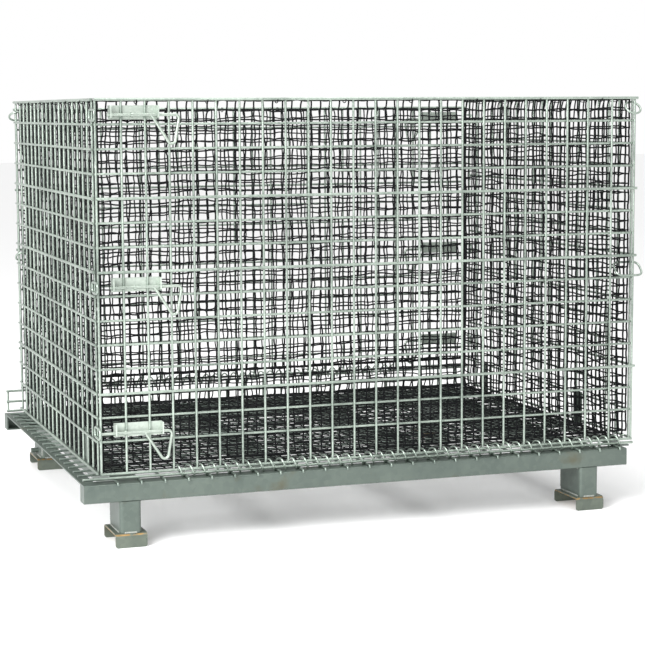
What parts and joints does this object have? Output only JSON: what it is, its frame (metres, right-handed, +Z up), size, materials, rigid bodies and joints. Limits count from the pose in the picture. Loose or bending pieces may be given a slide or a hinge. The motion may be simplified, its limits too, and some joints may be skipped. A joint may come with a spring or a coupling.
{
  "type": "collapsible wire mesh container",
  "caption": "Stackable wire mesh container on feet, lined with netting, with panels that fold outward on coil hinges and close with sliding bolts.",
  "frame": {"origin": "middle of the footprint on the floor, under the saddle feet", "axes": "+X along the long side towards the end that overhangs less, +Y from the front panel to the rear panel, +Z up"},
  "size_m": [1.3063, 1.0252, 0.9352],
  "materials": {
    "galvanised_wire": "galvanised, dull satin",
    "galvanised_sheet": "galvanised, dull satin with weld beads",
    "zinc_fittings": "zinc plated, satin",
    "netting": "matt black cord netting"
  },
  "bodies": {
    "base": {"front_rail": "galvanised_sheet", "rear_rail": "galvanised_sheet", "left_deck_strip": "galvanised_sheet", "right_deck_strip": "galvanised_sheet", "deck_cross_members": "galvanised_sheet", "foot_peg": "galvanised_sheet", "foot_post_front_left": "galvanised_sheet", "foot_saddle_front_left": "galvanised_sheet", "foot_post_front_right": "galvanised_sheet", "foot_saddle_front_right": "galvanised_sheet", "foot_post_rear_left": "galvanised_sheet", "foot_saddle_rear_left": "galvanised_sheet", "foot_post_rear_right": "galvanised_sheet", "foot_saddle_rear_right": "galvanised_sheet", "deck_cross_wires": "galvanised_wire", "deck_edge_rods": "galvanised_wire", "deck_long_wires": "galvanised_wire", "skirt_uprights": "galvanised_wire", "skirt_rods": "galvanised_wire", "front_coil": "galvanised_wire", "rear_coil": "galvanised_wire", "floor_net": "netting", "skirt_net": "netting"},
    "front_panel": {"front_uprights": "galvanised_wire", "front_rows": "galvanised_wire", "front_stiffeners": "galvanised_wire", "front_net": "netting", "front_latch_brackets": "galvanised_sheet", "front_hinge_rings": "galvanised_wire"},
    "rear_panel": {"rear_uprights": "galvanised_wire", "rear_rows": "galvanised_wire", "rear_stiffeners": "galvanised_wire", "rear_net": "netting", "rear_latch_brackets": "galvanised_sheet", "rear_hinge_rings": "galvanised_wire"},
    "left_panel": {"left_uprights": "galvanised_wire", "left_rows": "galvanised_wire", "left_stiffeners": "galvanised_wire", "left_hook_plates": "galvanised_sheet", "left_keeper_eyes": "galvanised_wire", "left_net": "netting"},
    "right_panel": {"right_uprights": "galvanised_wire", "right_rows": "galvanised_wire", "right_stiffeners": "galvanised_wire", "right_hook_plates": "galvanised_sheet", "right_keeper_eyes": "galvanised_wire", "right_net": "netting"},
    "front_bolt_top": {"front_bolt_top": "zinc_fittings"},
    "front_bolt_mid": {"front_bolt_mid": "zinc_fittings"},
    "front_bolt_low": {"front_bolt_low": "zinc_fittings"},
    "rear_bolt_top": {"rear_bolt_top": "zinc_fittings"},
    "rear_bolt_mid": {"rear_bolt_mid": "zinc_fittings"},
    "rear_bolt_low": {"rear_bolt_low": "zinc_fittings"}
  },
  "joints": [
    {"name": "front_fold", "type": "hinge", "parent": "base", "child": "front_panel", "pos_m": [0, -0.4826, 0.153], "axis": [1, 0, 0], "range_deg": [0, 90]},
    {"name": "rear_fold", "type": "hinge", "parent": "base", "child": "rear_panel", "pos_m": [0, 0.4826, 0.203], "axis": [-1, 0, 0], "range_deg": [0, 90]},
    {"name": "right_swing", "type": "hinge", "parent": "front_panel", "child": "right_panel", "pos_m": [0.6274, -0.4686, 0.5], "axis": [0, 0, -1], "range_deg": [0, 90]},
    {"name": "left_swing", "type": "hinge", "parent": "rear_panel", "child": "left_panel", "pos_m": [-0.6124, 0.4686, 0.5], "axis": [0, 0, -1], "range_deg": [0, 90]},
    {"name": "front_bolt_top_slide", "type": "slide", "parent": "front_panel", "child": "front_bolt_top", "axis": [1, 0, 0], "range_m": [-0.037, 0]},
    {"name": "front_bolt_mid_slide", "type": "slide", "parent": "front_panel", "child": "front_bolt_mid", "axis": [1, 0, 0], "range_m": [-0.037, 0]},
    {"name": "front_bolt_low_slide", "type": "slide", "parent": "front_panel", "child": "front_bolt_low", "axis": [1, 0, 0], "range_m": [-0.012, 0.025]},
    {"name": "rear_bolt_top_slide", "type": "slide", "parent": "rear_panel", "child": "rear_bolt_top", "axis": [-1, 0, 0], "range_m": [-0.037, 0]},
    {"name": "rear_bolt_mid_slide", "type": "slide", "parent": "rear_panel", "child": "rear_bolt_mid", "axis": [-1, 0, 0], "range_m": [-0.037, 0]},
    {"name": "rear_bolt_low_slide", "type": "slide", "parent": "rear_panel", "child": "rear_bolt_low", "axis": [-1, 0, 0], "range_m": [-0.037, 0]}
  ]
}
